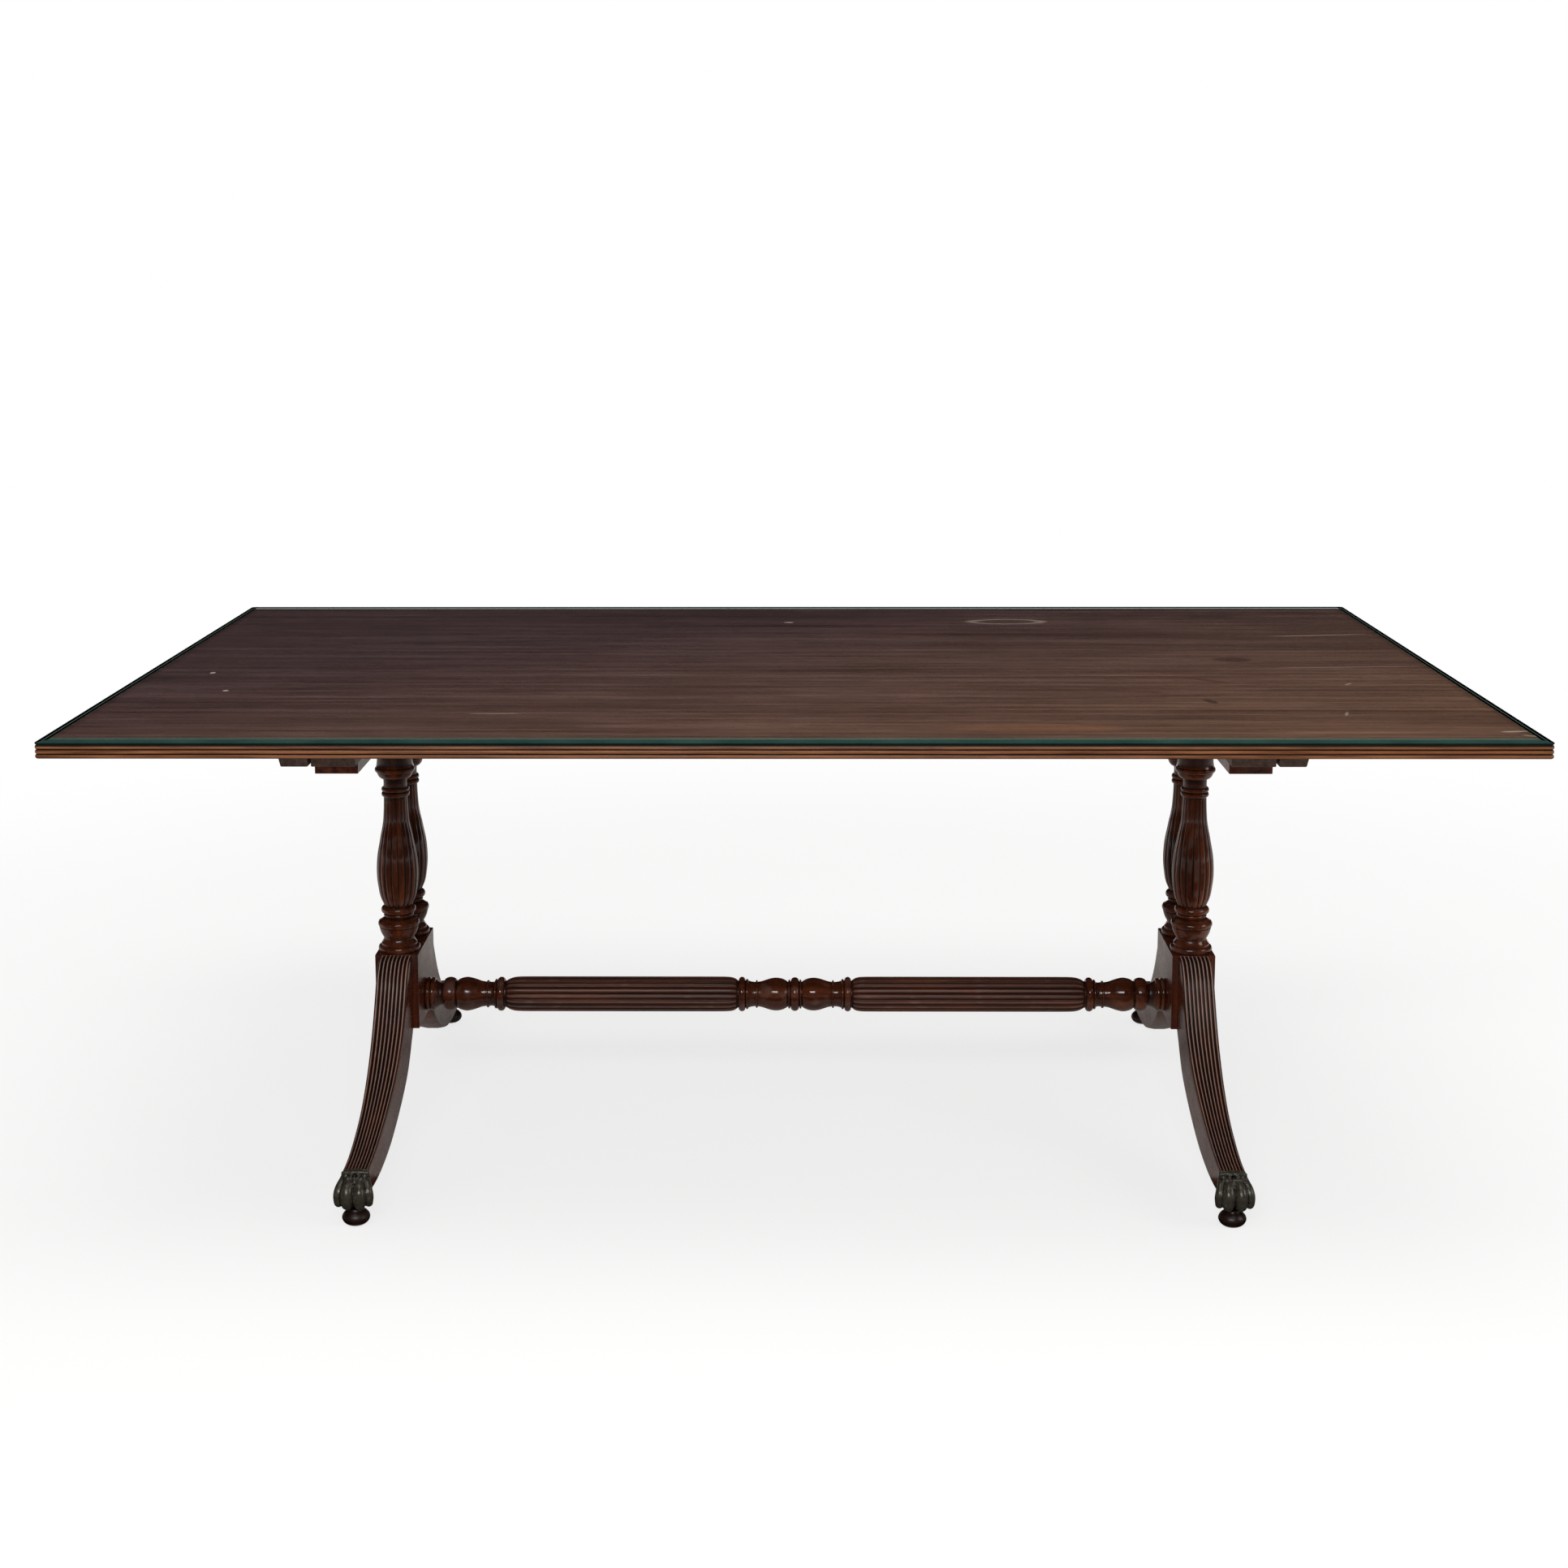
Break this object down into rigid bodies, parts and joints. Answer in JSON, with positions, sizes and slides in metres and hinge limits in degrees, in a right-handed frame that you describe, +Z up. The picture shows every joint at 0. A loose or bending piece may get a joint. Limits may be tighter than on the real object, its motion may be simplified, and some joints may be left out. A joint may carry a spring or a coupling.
{
  "type": "breakfast table",
  "caption": "Rectangular breakfast table with a bevelled glass sheet over a reed-edged wooden top, on column trestles with sabre legs, paw feet and a turned, reeded stretcher.",
  "frame": {"origin": "on the floor, under the middle of the top", "axes": "+X along the table's length, +Y to the side away from the viewer of the picture, +Z up"},
  "size_m": [2.05, 1.3, 0.755],
  "materials": {
    "float_glass": "polished float glass with a ground bevel",
    "polished_top_wood": "stained and polished boards",
    "turned_wood": "stained, turned and reeded, glossy polish",
    "plain_under_wood": "sawn and planed, thin stain",
    "patinated_bronze": "cast brass darkened by age"
  },
  "bodies": {
    "root": {"base_block_left": "turned_wood", "base_block_right": "turned_wood", "bearer_left": "plain_under_wood", "bearer_right": "plain_under_wood", "bun_foot_front_left": "turned_wood", "bun_foot_front_right": "turned_wood", "bun_foot_rear_left": "turned_wood", "bun_foot_rear_right": "turned_wood", "column_front_left": "turned_wood", "column_front_right": "turned_wood", "column_rear_left": "turned_wood", "column_rear_right": "turned_wood", "glass_sheet": "float_glass", "inner_batten_left": "plain_under_wood", "inner_batten_right": "plain_under_wood", "leg_front_left": "turned_wood", "leg_front_right": "turned_wood", "leg_rear_left": "turned_wood", "leg_rear_right": "turned_wood", "outer_batten_left": "plain_under_wood", "outer_batten_right": "plain_under_wood", "paw_front_left": "patinated_bronze", "paw_front_right": "patinated_bronze", "paw_rear_left": "patinated_bronze", "paw_rear_right": "patinated_bronze", "stretcher": "turned_wood", "top_board_front": "polished_top_wood", "top_board_middle": "polished_top_wood", "top_board_rear": "polished_top_wood"}
  },
  "joints": []
}
